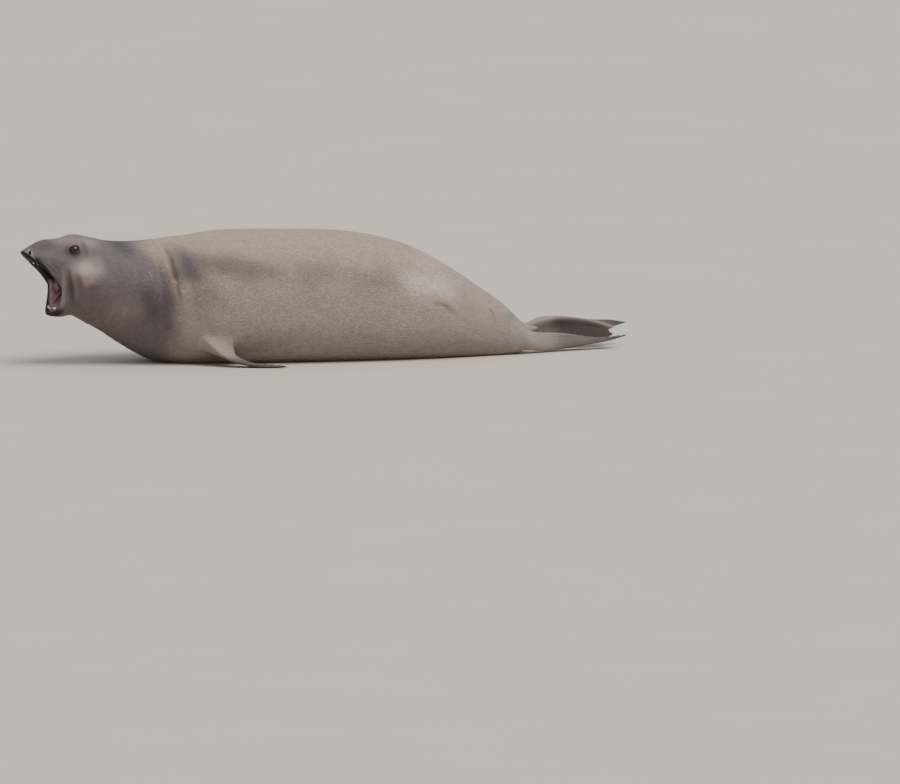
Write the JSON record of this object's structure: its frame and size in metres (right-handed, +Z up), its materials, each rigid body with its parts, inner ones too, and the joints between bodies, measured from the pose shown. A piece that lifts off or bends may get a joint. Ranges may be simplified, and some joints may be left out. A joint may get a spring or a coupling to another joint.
{
  "type": "elephant seal",
  "caption": "Adult female elephant seal lying on its belly, head lifted and turned slightly, mouth wide open, hind flippers trailing.",
  "frame": {"origin": "on the floor under the thickest part of the trunk, on the flat that the belly rests on", "axes": "+X towards the tail, the nose towards -X; +Y towards the animal's right side; +Z up"},
  "size_m": [3.188, 0.932, 0.6559],
  "materials": {
    "hide": "short dry fur, matte",
    "flipper": "thin dark fur over skin, matte",
    "eye": "wet, glossy",
    "tongue": "moist, satin"
  },
  "bodies": {
    "root": {"head": "hide", "lower_jaw": "hide", "tongue": "tongue", "neck": "hide", "trunk": "hide", "tail": "hide", "eye_left": "eye", "eye_right": "eye", "fore_flipper_left": "flipper", "fore_flipper_right": "flipper", "hind_flipper_left": "flipper", "hind_flipper_right": "flipper"}
  },
  "joints": []
}
